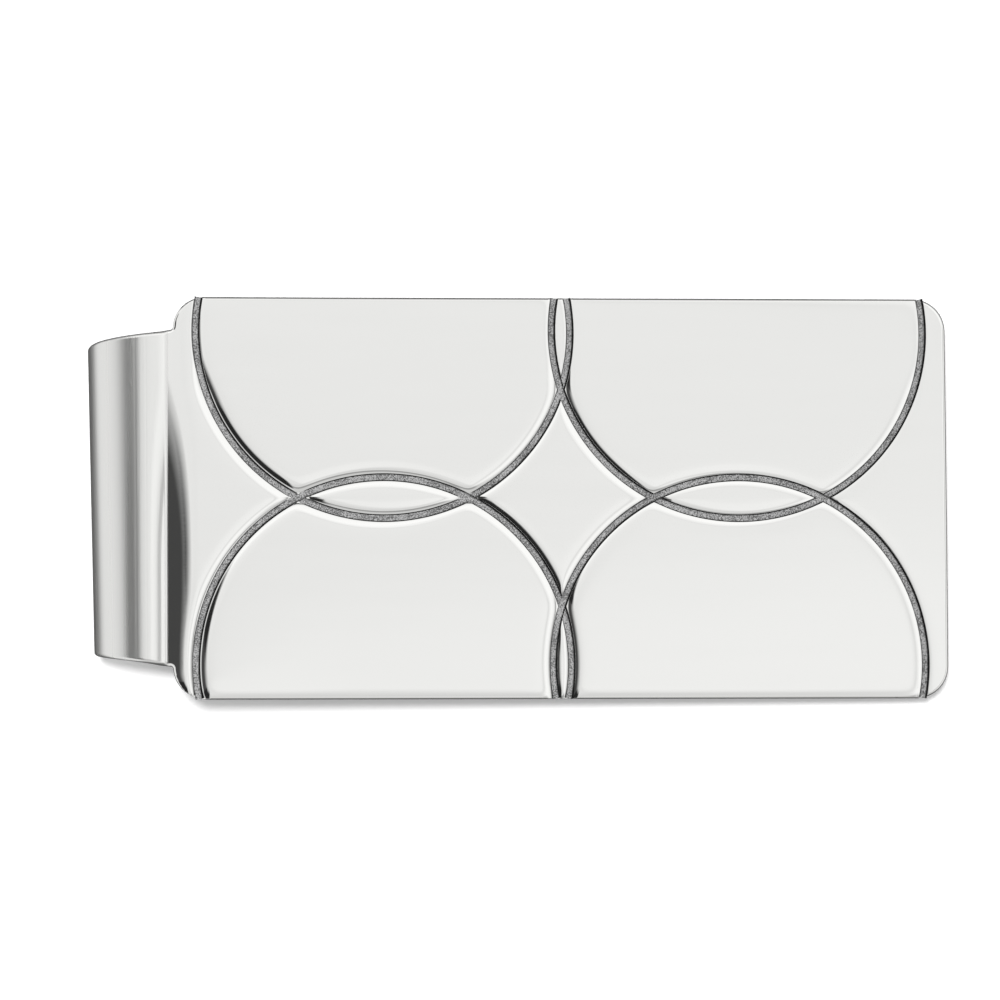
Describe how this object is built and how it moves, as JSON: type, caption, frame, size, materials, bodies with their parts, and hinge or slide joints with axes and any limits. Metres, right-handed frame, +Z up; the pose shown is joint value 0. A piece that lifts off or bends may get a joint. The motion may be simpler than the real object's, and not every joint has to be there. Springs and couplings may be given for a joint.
{
  "type": "money clip",
  "caption": "Folded spring money clip with a flat face plate engraved with overlapping circles, a rounded spring fold, a tapered back leaf and a flared lip.",
  "frame": {"origin": "centre of the clip's footprint on the table, at the level that its fold and its lip rest on", "axes": "+X along the clip from the fold to the open end, +Y across its width, +Z up out of the engraved face"},
  "size_m": [0.054, 0.0252, 0.0076],
  "materials": {
    "bright_plating": "mirror-polished white metal plating over brass strip",
    "dark_groove_finish": "matt dark antique finish, slightly granular, on the floor of the engraved lines"
  },
  "bodies": {
    "leaf_side": {"back_leaf": "bright_plating", "leaf_lip": "bright_plating", "spring_fold": "bright_plating"},
    "face_side": {"face_plate": "bright_plating", "groove_finish_upper_left": "dark_groove_finish", "groove_finish_upper_right": "dark_groove_finish", "groove_finish_lower_left": "dark_groove_finish", "groove_finish_lower_right": "dark_groove_finish"}
  },
  "joints": [
    {"name": "fold_flex", "type": "hinge", "parent": "leaf_side", "child": "face_side", "pos_m": [-0.02321, 0, 0.00423], "axis": [0, -1, 0], "range_deg": [0, 8], "stiffness_Nm_per_rad": 0.6, "springref_deg": -17.19, "deforming": ["spring_fold"]}
  ]
}
